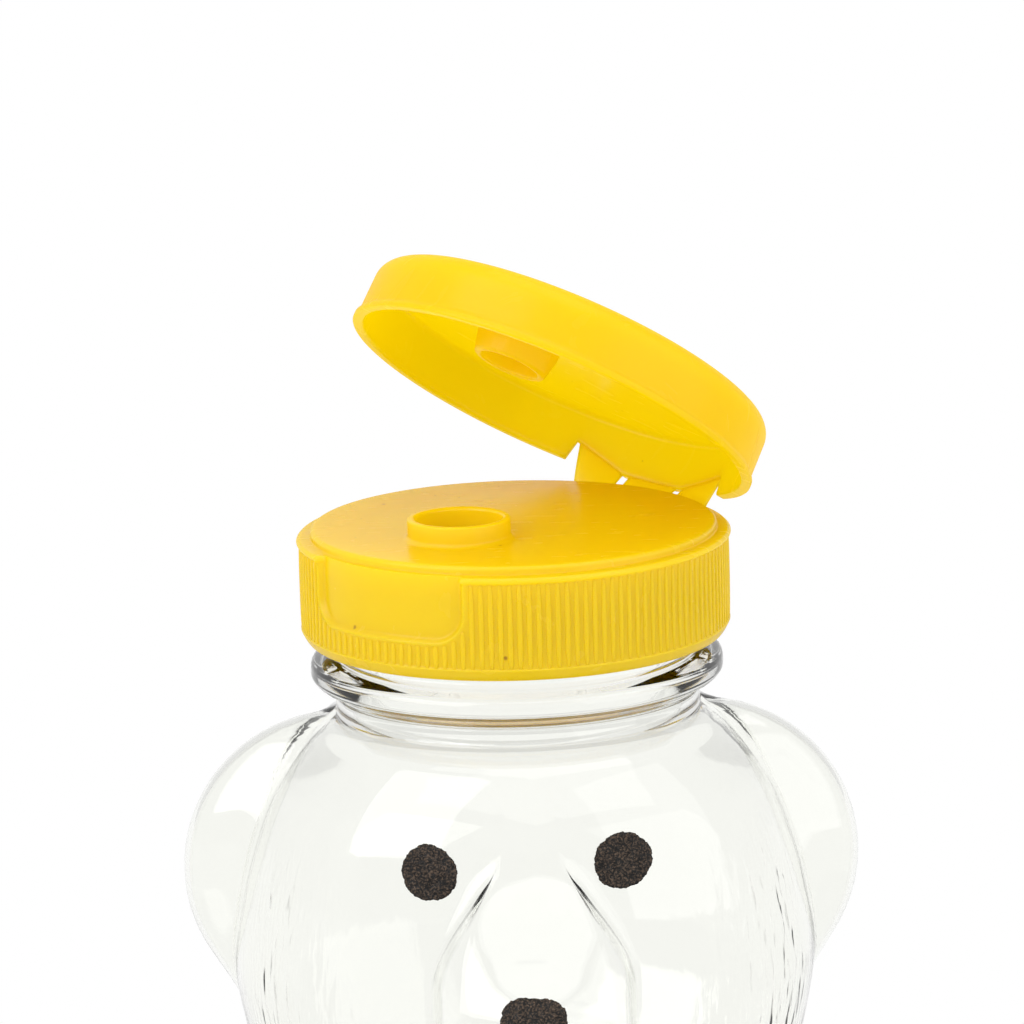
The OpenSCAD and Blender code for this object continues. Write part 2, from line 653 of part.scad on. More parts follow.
module lid_shell() {
    low = -deck_step + lid_gap;
    roof = lid_rise - lid_roof;
    inner = lid_radius - lid_wall;
    draft = lid_wall / 8;
    rotate_extrude($fn = 180)
        polygon(concat(
            [[0, roof], [inner - 3 * edge, roof], [inner - edge, roof - 2 * edge],
             [inner + edge, low + 2 * edge], [lip_radius - 3 * edge, low], [lip_radius - edge / 2, low],
             [lip_radius, low + edge / 2], [lip_radius, low + 1.5 * edge], [lid_radius, low + lip_height]],
            arc(lid_radius - draft - lid_round, lid_rise - lid_round, lid_round, 0, 90, 8),
            [[0, lid_rise]]));
}

// Hollow plug, slimmer at its end, so that it swings into the spout.
module plug() {
    outer = spout_bore_radius - plug_clearance;
    roof = lid_rise - lid_roof;
    taper = plug_wall * 0.32;
    rotate_extrude($fn = 72)
        polygon([[outer - plug_wall, -plug_reach + edge], [outer - plug_wall + edge, -plug_reach],
                 [outer - taper - edge, -plug_reach], [outer - taper, -plug_reach + edge],
                 [outer - taper / 16, spout_height - 2 * edge], [outer, spout_height - edge],
                 [outer - taper / 8, spout_height + edge], [outer, roof + edge],
                 [outer - plug_wall, roof + edge]]);
}

module flip_lid() {
    color(yellow) on_lid() {
        difference() {
            lid_shell();
            radial_prism(lid_slot);
        }
        translate([-spout_offset, 0, 0]) plug();
    }
}

// Living hinge: thin skins between the slots of the cap and of the lid.
function on_cap_point(p) = turned(p, 90 - cap_clocking) + [0, 0, deck_z];
function on_lid_point(p) =
    let(q = turned(p, hinge_twist), x = q.x - hinge_radius, z = q.z + hinge_drop)
    on_cap_point(turned([x * cos(lid_open) + z * sin(lid_open) + hinge_radius, q.y,
                         -x * sin(lid_open) + z * cos(lid_open) - hinge_drop], -hinge_twist));

// Skin between two corners on the cap and two on the lid, each given as [y, z], with y rising.
module film_patch(cap_start, cap_end, lid_start, lid_end) {
    steps = 8;
    function at_radius(c, r) = [sqrt(r * r - c[0] * c[0]), c[0], c[1]];
    function corners(r) = [on_cap_point(at_radius(cap_start, r)), on_cap_point(at_radius(cap_end, r)),
                           on_lid_point(at_radius(lid_start, r)), on_lid_point(at_radius(lid_end, r))];
    outside = corners(film_radius);
    inside = corners(film_radius - film);
    function spot(c, t, s) = between(between(c[0], c[1], s), between(c[2], c[3], s), t);
    skin([for (i = [0:steps]) let(t = i / steps)
        [spot(outside, t, 0), spot(outside, t, 1), spot(inside, t, 1), spot(inside, t, 0)]]);
}

module hinge_band() {
    foot = cap_film_z + film_seat;
    top = lid_film_z - film_seat;
    color(yellow)
        film_patch([-band_half_width, foot], [band_half_width, foot],
                   [-band_half_width, top], [band_half_width, top]);
}

// The wings end just clear of the sloping floors of their slots.
wing_start = wing_inner + hinge_hole / 4;
wing_foot = slot_low + edge;
wing_top = wing_rise - edge;

module hinge_wing_left() {
    color(yellow)
        film_patch([wing_start, cap_film_z], [hinge_half_width, wing_foot],
                   [wing_start, lid_film_z], [hinge_half_width, wing_top]);
}

module hinge_wing_right() {
    color(yellow)
        film_patch([-hinge_half_width, wing_foot], [-wing_start, cap_film_z],
                   [-hinge_half_width, wing_top], [-wing_start, lid_film_z]);
}

module seal_ring() {
    outer = cap_bore_radius - seal_room;
    color(foam)
        tube(outer, outer - seal_width, bottle_height + seal_gap, bottle_height + seal_thickness - seal_gap);
}

bottle_torso();
bottle_head();
eye_left();
eye_right();
nose();
seal_ring();
cap_base();
flip_lid();
hinge_band();
hinge_wing_left();
hinge_wing_right();
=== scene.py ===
"""A clear bear-shaped honey bottle with a yellow flip-top cap, standing in a white studio."""

import math

import bmesh
import bpy
import numpy as np
from mathutils import Matrix, Vector


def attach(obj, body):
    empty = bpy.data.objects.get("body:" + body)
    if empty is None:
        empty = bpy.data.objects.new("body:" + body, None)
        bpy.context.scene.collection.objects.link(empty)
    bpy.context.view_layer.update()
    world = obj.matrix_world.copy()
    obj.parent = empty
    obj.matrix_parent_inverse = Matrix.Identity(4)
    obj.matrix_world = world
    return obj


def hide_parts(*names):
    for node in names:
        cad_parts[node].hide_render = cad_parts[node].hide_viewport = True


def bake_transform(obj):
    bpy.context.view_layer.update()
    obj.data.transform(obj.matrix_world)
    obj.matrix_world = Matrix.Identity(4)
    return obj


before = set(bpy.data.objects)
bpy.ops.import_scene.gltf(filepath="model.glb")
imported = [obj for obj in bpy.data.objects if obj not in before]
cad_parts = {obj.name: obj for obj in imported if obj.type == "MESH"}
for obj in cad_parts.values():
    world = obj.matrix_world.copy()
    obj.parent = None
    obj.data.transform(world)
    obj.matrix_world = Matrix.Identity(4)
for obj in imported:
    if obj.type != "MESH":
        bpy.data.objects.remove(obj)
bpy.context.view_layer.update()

MM = 0.001

# Sizes of the bottle in millimetres, the same as in the part's source
bottle_height = 161.0
wall = 0.45
push_up = 2.6
neck_radius = 17.57
neck_wall = 2.17
mouth_radius = neck_radius - neck_wall
thread_radius = 18.65
thread_pitch = 4.233
thread_drop = 6.2
collar_radius = 20.0
collar_height = 2.4
collar_slope = 0.9
shoulder_drop = 3.2
collar_top_z = bottle_height - 10.1
collar_low_z = collar_top_z - collar_height
neck_root_z = collar_low_z - shoulder_drop
deck_z = bottle_height + 0.8 + 1.4
cheek_z = bottle_height - 39.8
chin_z = bottle_height - 58.3
ear_z = bottle_height - 31.7
nose_z = bottle_height - 36.9
eye_z = bottle_height - 25.9
head_half_depth = 24.2
print_slip = -0.35
print_tilt = 1.8

# Sizes of the closure, measured from the deck
cap_clocking = 40.8
cap_bore_radius = 18.95
cap_radius = 20.75
rib_root_radius = 20.53
deck_radius = 19.5
deck_step = 0.83
deck_thickness = 1.4
cap_height = 10.75
hem_height = 1.25
spout_offset = 8.15
spout_bore_radius = 4.15
spout_wall = 0.75
spout_height = 2.0
recess_half_width = 8.6
recess_drop = 7.0
recess_corner = 2.6
lid_gap = 0.1
lid_rise = 5.63
lid_roof = 1.2
lid_wall = 1.0
lid_radius = 20.5
lip_radius = 20.82
lid_open = 34.5
hinge_radius = 20.99
hinge_drop = 3.59
hinge_twist = 8.5
hinge_half_width = 7.6
band_half_width = 3.0
wing_inner = 3.8
slot_half_width = 8.1
slot_low = -deck_step - 2.3
lid_slot_half_width = 9.6
lid_wing_half_width = 9.1
wing_rise = 1.35
cap_film_z = -deck_step - 0.35
lid_film_z = -deck_step + 0.35
film = 0.5
film_radius = rib_root_radius - film / 4


def section(low, high, share, width, front, back, square):
    return [low + (high - low) * share, width, front, back, square]


# Height, half-width, front depth, back depth and squareness of the body's sections
levels = np.array(
    [section(0, chin_z, *row) for row in (
        (0, 28.9, 22.4, 22.4, 2.35), (0.011, 30.7, 24.2, 24.2, 2.35), (0.044, 32.1, 25.4, 25.6, 2.35),
        (0.214, 32.5, 25.8, 26.2, 2.3), (0.487, 31.0, 26.6, 25.4, 2.25), (0.720, 27.6, 24.8, 23.4, 2.2),
        (0.886, 24.0, 20.8, 20.2, 2.15), (1, 22.0, 18.2, 18.4, 2.1))]
    + [section(chin_z, cheek_z, *row) for row in (
        (0.270, 25.0, 21.2, 20.8, 2.1), (0.595, 27.2, 23.6, 22.8, 2.1), (1, 28.3, 24.2, 23.6, 2.1))]
    + [section(cheek_z, neck_root_z, *row) for row in (
        (0.290, 27.4, 24.0, 23.4, 2.1), (0.560, 25.6, 23.2, 22.6, 2.08), (0.768, 23.1, 21.9, 21.5, 2.05),
        (0.929, 20.07, 19.9, 19.8, 2.0))]
    + [section(neck_root_z, collar_low_z, *row) for row in (
        (0, neck_radius + 0.15, neck_radius + 0.15, neck_radius + 0.15, 2.0),
        (0.19, neck_radius - 0.1, neck_radius - 0.1, neck_radius - 0.1, 2.0))])


def smooth(v):
    c = np.clip(v, 0, 1)
    return c * c * (3 - 2 * c)


def smooth_max(a, b, k):
    h = np.maximum(k - np.abs(a - b), 0)
    return np.maximum(a, b) + h * h / (4 * k)


def tangent(i, c):
    """Slope of column c at level i, limited so that the outline never overshoots."""
    steps = np.diff(levels[:, c]) / np.diff(levels[:, 0])
    if i == 0 or i == len(levels) - 1:
        return steps[0] if i == 0 else steps[-1]
    p, q = steps[i - 1], steps[i]
    return 0 if p * q <= 0 else 2 * p * q / (p + q)


def outline(z, c):
    """Value of column c at height z, by a monotone cubic between the levels."""
    i = int(np.clip(np.searchsorted(levels[:, 0], z, side="right") - 1, 0, len(levels) - 2))
    h = levels[i + 1, 0] - levels[i, 0]
    t = min(1, max(0, (z - levels[i, 0]) / h))
    return (levels[i, c] * (1 + 2 * t) * (1 - t) ** 2 + tangent(i, c) * h * t * (1 - t) ** 2
            + levels[i + 1, c] * t * t * (3 - 2 * t) + tangent(i + 1, c) * h * t * t * (t - 1))


def ear_exit(a, z, inset):
    """Where rays from the axis leave the ears, 0 where they miss them."""
    tall, thick = 15.5 - inset, 6.2 - inset
    s, c = np.abs(np.sin(a)), -np.cos(a)
    k = 1 - ((z - ear_z) / tall) ** 2
    qa = s * s / tall ** 2 + c * c / thick ** 2
    qb = -2 * (s * 17.4 / tall ** 2 + c * 1.5 / thick ** 2)
    qc = (17.4 / tall) ** 2 + (1.5 / thick) ** 2 - k
    root = qb * qb - 4 * qa * qc
    found = (root > 0) & (k > 0)
    return np.where(found, np.maximum(0, (-qb + np.sqrt(np.where(found, root, 0))) / (2 * qa)), 0)


def muzzle_width(z):
    grown = 3.0 + 6.5 * smooth((nose_z + 14.1 - z) / 14.1)
    return grown * (1 - 0.45 * smooth((nose_z - z) / 17 * 1.8 - 0.8))


def muzzle_height(z):
    return 9.5 * smooth((nose_z + 13.0 - z) / 15.0) * smooth((z - nose_z + 17) / 9.52)


def muzzle_dome(x, z):
    """Height of the muzzle over the face, highest along its middle, without its sides."""
    return muzzle_height(z) * (1 - 0.12 * (x / 9.4) ** 2)


def edge_power(z):
    """How squarely the muzzle's sides turn into its top: most squarely between the eyes."""
    return 5 + 11 * smooth((z - nose_z - 2) / 7)


def muzzle(x, z, inset):
    """Height of the muzzle and nose over the face, straight to the front."""
    side = (1 - np.clip(x / (muzzle_width(z) - inset), 0, 1) ** edge_power(z)) ** (1 / 3)
    tip = 1.5 * smooth(1.35 - np.hypot(x / 6.2, (z - nose_z) / 5.0) * 1.4)
    return muzzle_dome(x, z) * side + tip


def side_angle(z, inset, share):
    """Angle of a point on the rounded side of the muzzle: share 0 at its foot, 1 at its top."""
    x = (muzzle_width(z) - inset) * (1 - share ** 3) ** (1 / edge_power(z))
    return math.atan2(x, head_half_depth - inset + muzzle_dome(x, z) * share)


def face_radius(a, z, inset, width, depth, square, ring):
    """Distance along rays from the axis to the face with its muzzle, found by halving."""
    near, far = ring, ring * 1.6
    for _ in range(18):
        r = (near + far) / 2
        x = np.abs(r * np.sin(a))
        face = depth * np.clip(1 - (x / width) ** square, 0, None) ** (1 / square) + muzzle(x, z, inset)
        short = r * np.cos(a) < face
        near, far = np.where(short, r, near), np.where(short, far, r)
    return (near + far) / 2


def segment_distance(u, v, p, q):
    d = np.subtract(q, p)
    t = np.clip(((u - p[0]) * d[0] + (v - p[1]) * d[1]) / (d @ d), 0, 1)
    return np.hypot(u - p[0] - t * d[0], v - p[1] - t * d[1])


def ridge(d, w, h):
    return h * np.clip(1 - (d / w) ** 2, 0, 1) ** 1.5


def limb_point(angle, share):
    return 28.6 * math.radians(angle), chin_z * share


def limbs(a, z):
    """Height of the arms and legs, as ridges along paths on the unrolled surface."""
    u = np.abs((a + math.pi) % (2 * math.pi) - math.pi) * 28.6
    shoulder, elbow, paw = limb_point(86, 0.837), limb_point(78, 0.604), limb_point(27.6, 0.682)
    hip, foot = limb_point(82, 0.185), limb_point(30.7, 0.151)
    arm = np.minimum(segment_distance(u, z, shoulder, elbow), segment_distance(u, z, elbow, paw))
    arm = ridge(arm, 8.5, 4.2) + ridge(np.hypot(u - paw[0], z - paw[1]), 6.46, 1.2)
    leg = ridge(segment_distance(u, z, hip, foot), 12, 5.0)
    leg = leg + ridge(np.hypot(u - foot[0], z - foot[1]), 10.44, 3.0)
    return np.maximum(arm, leg)


def body_radius(a, z, inset=0.0):
    """Radius of the shell at angles a from the face and height z, in millimetres."""
    w, f, b = (outline(z, c) - inset for c in (1, 2, 3))
    n = outline(z, 4)
    depth = np.where(np.cos(a) > 0, f, b)
    ring = (np.abs(np.sin(a) / w) ** n + np.abs(np.cos(a) / depth) ** n) ** (-1 / n)
    if z < chin_z:
        return ring + limbs(a, z)
    ear = np.where(np.abs(np.sin(a)) > 0.7, ear_exit(a, z, min(inset, wall)), 0)
    ear = np.where(ear > 0, smooth_max(ring, ear, 2.4), ring)
    return np.where(np.cos(a) > 0.75, face_radius(a, z, inset, w, depth, n, ring), ear)


def ring_angles(z, inset=0.0):
    """Angles round one level: they follow the sides of the muzzle and are dense on the ears."""
    top, foot, cheek = side_angle(z, inset, 0.97), side_angle(z, inset, 0), math.radians(36)
    half = np.concatenate([
        np.linspace(0, 1, 7)[:-1] * top, [side_angle(z, inset, k) for k in np.linspace(0.97, 0, 17)],
        foot + (cheek - foot) * np.arange(1, 11) / 10, np.radians(np.arange(38, 75, 2.0)),
        np.radians(np.arange(76, 109, 0.8)), np.radians(np.arange(110.5, 180, 2.5)), [math.pi]])
    return np.concatenate([half, 2 * math.pi - half[-2:0:-1]])


def ring(a, r, z):
    return np.stack([r * np.sin(a), -r * np.cos(a), np.full_like(a, z)], 1) * MM


def helix_height(a, z, start_z, first, last, width):
    """Height from 0 to 1 of a helical ridge at angles a, measured from +X, and heights z."""
    top = np.zeros(np.broadcast(a, z).shape)
    for turn in (0, 1, 2):
        t = a % (2 * math.pi) + 2 * math.pi * turn
        ends = smooth(np.minimum(t - math.radians(first), math.radians(last) - t) / math.radians(26))
        off = np.abs(z - start_z - thread_pitch * t / (2 * math.pi))
        top = np.maximum(top, ends * smooth((width / 2 - off) / 0.45))
    return top


def rounded(points, size, steps=4):
    """The same open line of points with its corners rounded."""
    p = np.array(points, float)
    out = [p[0]]
    for i in range(1, len(p) - 1):
        u, v = p[i - 1] - p[i], p[i + 1] - p[i]
        cut = min(size, np.linalg.norm(u) * 0.45, np.linalg.norm(v) * 0.45)
        s, e = p[i] + u / np.linalg.norm(u) * cut, p[i] + v / np.linalg.norm(v) * cut
        for t in np.linspace(0, 1, steps + 1):
            out.append((1 - t) ** 2 * s + 2 * t * (1 - t) * p[i] + t * t * e)
    out.append(p[-1])
    return np.array(out)


def grid_piece(name, rings, material, ends="poles"):
    """A closed skin from rings of equally many points: a pole at each end, or the last ring joined to the first."""
    n = len(rings[0])
    count = len(rings)
    points = np.concatenate(rings)
    faces = []
    for i in range(count if ends == "joined" else count - 1):
        row, above = i * n, (i + 1) % count * n
        faces += [(row + j, row + (j + 1) % n, above + (j + 1) % n, above + j) for j in range(n)]
    if ends == "poles":
        first, last = len(points), len(points) + 1
        points = np.concatenate([points, rings[0].mean(0)[None], rings[-1].mean(0)[None]])
        top = (count - 1) * n
        faces += [(first, (j + 1) % n, j) for j in range(n)]
        faces += [(last, top + j, top + (j + 1) % n) for j in range(n)]
    mesh = bpy.data.meshes.new(name)
    mesh.from_pydata(points.tolist(), [], faces)
    mesh.materials.append(material)
    mesh.polygons.foreach_set("use_smooth", [True] * len(mesh.polygons))
    mesh.validate()
    make_outward(mesh)
    piece = bpy.data.objects.new(name, mesh)
    bpy.context.scene.collection.objects.link(piece)
    return piece


def make_outward(mesh):
    """Turns the faces so that the skin encloses a positive volume."""
    work = bmesh.new()
    work.from_mesh(mesh)
    if work.calc_volume(signed=True) < 0:
        bmesh.ops.reverse_faces(work, faces=work.faces)
    work.to_mesh(mesh)
    work.free()


def wall_at(z):
    return wall + (neck_wall - wall) * float(smooth(1 - (neck_root_z - z) / shoulder_drop / 2.6))


def bear_shell(material):
    """The blown shell: outer skin, neck finish with thread, and inner skin, as one closed mesh."""
    rings = []
    base = ring_angles(0)
    for k in np.linspace(0.04, 0.86, 12):
        rings.append(ring(base, body_radius(base, 0) * k, push_up * (1 - (k / 0.86) ** 2)))
    body = np.concatenate([[0, 0.15, 0.4, 0.75, 1.1, 1.7, 2.4, 3.4], np.arange(4.5, chin_z - 4, 1.6),
                           np.arange(chin_z - 3.5, neck_root_z - 0.3, 0.5), [neck_root_z]])
    for z in body:
        a = ring_angles(z)
        rings.append(ring(a, body_radius(a, z), z))
    a = ring_angles(neck_root_z)
    finish = rounded([[neck_radius, neck_root_z + 0.2], [neck_radius, collar_low_z - collar_slope],
                      [collar_radius - 0.5, collar_low_z - 0.1], [collar_radius - 0.1, collar_low_z + 0.4],
                      [collar_radius - 0.15, collar_top_z - 0.5], [neck_radius, collar_top_z + 0.1],
                      [neck_radius, bottle_height - thread_drop - 1.3]], 0.9, 7)
    rings += [ring(a, np.full_like(a, r), z) for r, z in finish]
    for z in np.arange(bottle_height - thread_drop - 1.2, bottle_height - 0.9, 0.2):
        crest = helix_height(a - math.pi / 2, z, bottle_height - thread_drop, 0, 365, 2.0)
        rings.append(ring(a, neck_radius + (thread_radius - neck_radius) * crest, z))
    bore = rounded([[neck_radius, bottle_height - 0.7], [neck_radius, bottle_height], [mouth_radius, bottle_height],
                    [mouth_radius, collar_top_z], [mouth_radius, neck_root_z + 0.6]], 0.3)
    rings += [ring(a, np.full_like(a, r), z) for r, z in bore]
    inside = np.concatenate([np.arange(neck_root_z, chin_z - 2, -0.7), np.arange(chin_z - 3, wall + 1, -2.4),
                             [wall + 0.9, wall + 0.3]])
    for z in inside:
        a = ring_angles(z, wall)
        rings.append(ring(a, body_radius(a, z, wall_at(z)), z))
    base = ring_angles(1.1, wall)
    for k in np.linspace(0.86, 0.04, 10):
        rings.append(ring(base, body_radius(base, 1.1, wall) * k, wall + push_up * (1 - (k / 0.86) ** 2)))
    return grid_piece("bear_shell", rings, material)


def to_world(points):
    """Points measured from the deck, +X towards the hinge, in the frame of the model."""
    turn = math.radians(90 - cap_clocking)
    p = np.asarray(points, float).reshape(-1, 3)
    x = p[:, 0] * math.cos(turn) - p[:, 1] * math.sin(turn)
    y = p[:, 0] * math.sin(turn) + p[:, 1] * math.cos(turn)
    return np.stack([x, y, p[:, 2] + deck_z], 1) * MM


def opened(points):
    """Points of the shut lid, swung to the angle at which the bottle stands open."""
    p = np.asarray(points, float).reshape(-1, 3)
    t, o = math.radians(hinge_twist), math.radians(lid_open)
    x = p[:, 0] * math.cos(t) - p[:, 1] * math.sin(t) - hinge_radius
    y = p[:, 0] * math.sin(t) + p[:, 1] * math.cos(t)
    z = p[:, 2] + hinge_drop
    x, z = x * math.cos(o) + z * math.sin(o) + hinge_radius, -x * math.sin(o) + z * math.cos(o) - hinge_drop
    return np.stack([x * math.cos(t) + y * math.sin(t), -x * math.sin(t) + y * math.cos(t), z], 1)


def arch(y, z):
    """Distance outside the thumb recess, which is open at the top and has rounded lower corners."""
    dy = np.abs(y) - recess_half_width + recess_corner
    dz = -recess_drop + recess_corner - z
    return (np.hypot(np.maximum(dy, 0), np.maximum(dz, 0)) + np.minimum(np.maximum(dy, dz), 0)
            - recess_corner)


def slot_line(y, inner, outer, half_width):
    """Height of the sloping edge of a hinge slot, which runs from the band to the outer end of the wing."""
    return inner + (outer - inner) * np.clip((np.abs(y) - wing_inner) / (half_width - wing_inner), 0, 1)


def closure_angles():
    """Angles round the closure from the hinge, dense at the ends of the slot and of the recess."""
    half = np.concatenate([np.arange(0, 21, 0.75), np.arange(21, 26, 0.25), np.arange(26, 150, 1.5),
                           np.arange(150, 180, 0.4), [180]])
    return np.radians(np.concatenate([half, 360 - half[-2:0:-1]]))


def circle(t, centre, radius, z):
    """One ring of the closure. Radius and z may vary with the angle."""
    radius, z = np.broadcast_to(radius, t.shape), np.broadcast_to(z, t.shape)
    return np.stack([centre + radius * np.cos(t), radius * np.sin(t), z], 1)


def cap_skin(material):
    """Skirt, shoulder, deck and spout of the cap as one closed ring-shaped skin."""
    t = closure_angles()
    rings = []

    def add(centre, radius, z):
        rings.append(to_world(circle(t, centre, radius, z)))

    def wall_ring(radius, z):
        """Outer wall at one height, with the thumb recess at the front and the slot at the hinge."""
        y = radius * np.sin(t)
        out = arch(y, np.full_like(t, z))
        front, back = np.cos(t) < -0.5, np.cos(t) > 0.5
        rim = 0.16 * np.exp(-((out - 0.22) / 0.17) ** 2) * (z < -1.2)
        r = np.where(front, np.maximum(radius, (rib_root_radius if z > -9 else radius)) + rim, radius)
        floor = cap_radius - 0.75 + 0.12 * smooth((-z - 4) / 3)
        r = np.where(front, r + (np.minimum(floor, r) - r) * smooth(0.5 - out / 0.5), r)
        cut = smooth((z - slot_line(y, cap_film_z, slot_low, slot_half_width)) / 0.12 + 0.5) * (np.abs(y) < slot_half_width)
        return np.where(back, r + (np.minimum(cap_radius - 1.1, r) - r) * cut, r)

    # Inner wall with its thread, then the lower rim
    for z in np.arange(-deck_thickness, -cap_height + 0.3, -0.22):
        crest = helix_height(t + math.radians(90 - cap_clocking), deck_z + z,
                             bottle_height - thread_drop - 1.65, 62, 340, 1.8)
        add(0, cap_bore_radius - 1.1 * crest, z)
    for r, z in rounded([[cap_bore_radius, -cap_height + 0.3], [cap_bore_radius + 0.25, -cap_height],
                         [cap_radius - 0.75, -cap_height], [cap_radius - 0.45, -cap_height + 0.4],
                         [cap_radius - 0.06, -cap_height + hem_height - 0.12],
                         [rib_root_radius, -cap_height + hem_height]], 0.12):
        add(0, r, z)
    # Outer wall, from the hem to the bead and over the shoulder
    top = -deck_step - 0.55
    for z in np.arange(-cap_height + hem_height + 0.14, top, 0.14):
        add(0, wall_ring(rib_root_radius, z), z)
    for r, z in rounded([[cap_radius, top], [cap_radius + 0.1, top + 0.12], [cap_radius + 0.1, -deck_step - 0.25],
                         [cap_radius - 0.15, -deck_step], [deck_radius + 0.3, -deck_step]], 0.12):
        add(0, wall_ring(r, z), z)
    # Step up to the deck, then rings that pass from its edge to the foot of the spout
    for r, z in rounded([[deck_radius + 0.15, -deck_step], [deck_radius, -deck_step + 0.1], [deck_radius, -0.25],
                         [deck_radius - 0.28, 0], [deck_radius - 0.8, 0]], 0.15):
        add(0, r, z)
    outer = spout_bore_radius + spout_wall
    for k in np.linspace(0, 1, 22)[1:]:
        centre, radius = -spout_offset * k, deck_radius - 0.8 + (outer + 0.5 - deck_radius + 0.8) * k
        add(centre, radius, 0.02 * math.sin(math.pi * k))
    for r, z in rounded([[outer + 0.35, 0.02], [outer, 0.3], [outer, spout_height - 0.1],
                         [outer - 0.18, spout_height], [spout_bore_radius + 0.2, spout_height],
                         [spout_bore_radius, spout_height - 0.2], [spout_bore_radius, 0.2],
                         [spout_bore_radius, -deck_thickness + 0.2], [spout_bore_radius + 0.2, -deck_thickness]],
                        0.16):
        add(-spout_offset, r, z)
    # Underside of the deck
    for k in np.linspace(0, 1, 12)[1:-1]:
        radius = spout_bore_radius + 0.2 + (cap_bore_radius - spout_bore_radius - 0.2) * k
        add(-spout_offset * (1 - k), radius, -deck_thickness)
    return grid_piece("cap_body", rings, material, ends="joined")


def lid_skin(material):
    """Lid with its lip, hinge slot and hollow plug as one closed skin."""
    t = closure_angles()
    low = -deck_step + lid_gap
    roof = lid_rise - lid_roof
    inner = lid_radius - lid_wall
    rings = []

    def add(centre, radius, z):
        rings.append(to_world(opened(circle(t, centre, radius, z))))

    def edge_z(radius):
        """Lower edge of the wall, lifted over the hinge slot."""
        y = radius * np.sin(t)
        inside = (np.cos(t) > 0.5) * smooth((lid_slot_half_width - np.abs(y)) / 0.12 + 0.5)
        return low + (np.maximum(slot_line(y, lid_film_z, wing_rise, lid_slot_half_width), low) - low) * inside

    def outer_radius(z):
        lip = lip_radius - 0.04 - 0.28 * smooth((z - low - 0.5) / 0.3)
        return np.where(z < low + 0.9, np.maximum(lip, lid_radius), lid_radius - 0.125 * (z - low) / lid_rise)

    # Outside, from the middle of the roof down to the lip
    for r in (0.35, 0.7, 0.95):
        add(0, r, lid_rise - 0.12 + 0.12 * float(smooth((r - 0.4) / 0.6)))
    for r in np.linspace(1.6, lid_radius - 2.3, 16):
        add(0, r, lid_rise)
    bend = np.radians(np.linspace(85, 5, 10))
    for a in bend:
        add(0, lid_radius - 2.0 + 1.9 * math.cos(a), lid_rise - 1.9 + 1.9 * math.sin(a))
    start = lid_rise - 1.95
    edge = edge_z(lid_radius)
    for k in np.linspace(0, 1, 26):
        z = start + (edge + 0.1 - start) * k
        add(0, outer_radius(z), z)
    add(0, outer_radius(edge) - 0.06, edge + 0.02)
    add(0, outer_radius(edge) - 0.16, edge)
    # Inside, up the wall to the roof
    add(0, inner + 0.4, edge)
    add(0, inner + 0.3, edge + 0.05)
    for k in np.linspace(0, 1, 12):
        z = edge + 0.2 + (roof - 0.6 - edge - 0.2) * k
        add(0, inner + 0.22 - 0.24 * k, z)
    for a in np.radians(np.linspace(0, 90, 6))[1:]:
        add(0, inner - 0.6 + 0.58 * math.cos(a), roof - 0.6 + 0.6 * math.sin(a))
    # Across the roof to the plug, then down and up the plug
    plug_radius = spout_bore_radius - 0.08
    for k in np.linspace(0, 1, 16)[1:]:
        add(-spout_offset * k, inner - 0.6 + (plug_radius + 0.4 - inner + 0.6) * k, roof)
    end_radius = plug_radius - 0.42
    for r, z in rounded([[plug_radius + 0.3, roof], [plug_radius, roof - 0.3], [plug_radius, spout_height - 0.25],
                         [plug_radius - 0.06, spout_height - 0.5], [end_radius, -0.1],
                         [end_radius - 0.2, -0.3], [plug_radius - 1.1, -0.3], [plug_radius - 1.2, -0.1],
                         [plug_radius - 1.25, roof - 1.3], [plug_radius - 1.4, roof - 1.1]], 0.18):
        add(-spout_offset, r, z)
    for k in (0.75, 0.5, 0.25, 0.08):
        add(-spout_offset, (plug_radius - 1.4) * k, roof - 1.05)
    return grid_piece("lid_body", rings, material)


def film_piece(name, cap_edge, lid_edge, material):
    """Thin flexible skin between an edge on the cap and an edge on the lid, each given by two (y, z) points."""
    thick = film * 0.9
    rings = []
    for t in np.linspace(0, 1, 19):
        thin = 1 - 0.3 * math.sin(math.pi * t)
        bow = -0.25 * math.sin(math.pi * t)
        sheets = []
        for side in (1, -1):
            row = []
            for s in np.linspace(0.0, 1.0, 15):
                edge_soft = min(1.0, 0.35 + 4 * min(s, 1 - s))
                ends = []
                for (y0, z0), (y1, z1) in (cap_edge, lid_edge):
                    y, z = y0 + (y1 - y0) * s, z0 + (z1 - z0) * s
                    r = film_radius - thick / 2 + side * thick / 2 * thin * edge_soft
                    ends.append(np.array([math.sqrt(r * r - y * y), y, z]))
                p = ends[0] * (1 - t) + opened(ends[1])[0] * t
                row.append(p + np.array([bow, 0, 0]))
            sheets.append(row)
        rings.append(to_world(np.array(sheets[0] + sheets[1][::-1])))
    return grid_piece(name, rings, material)


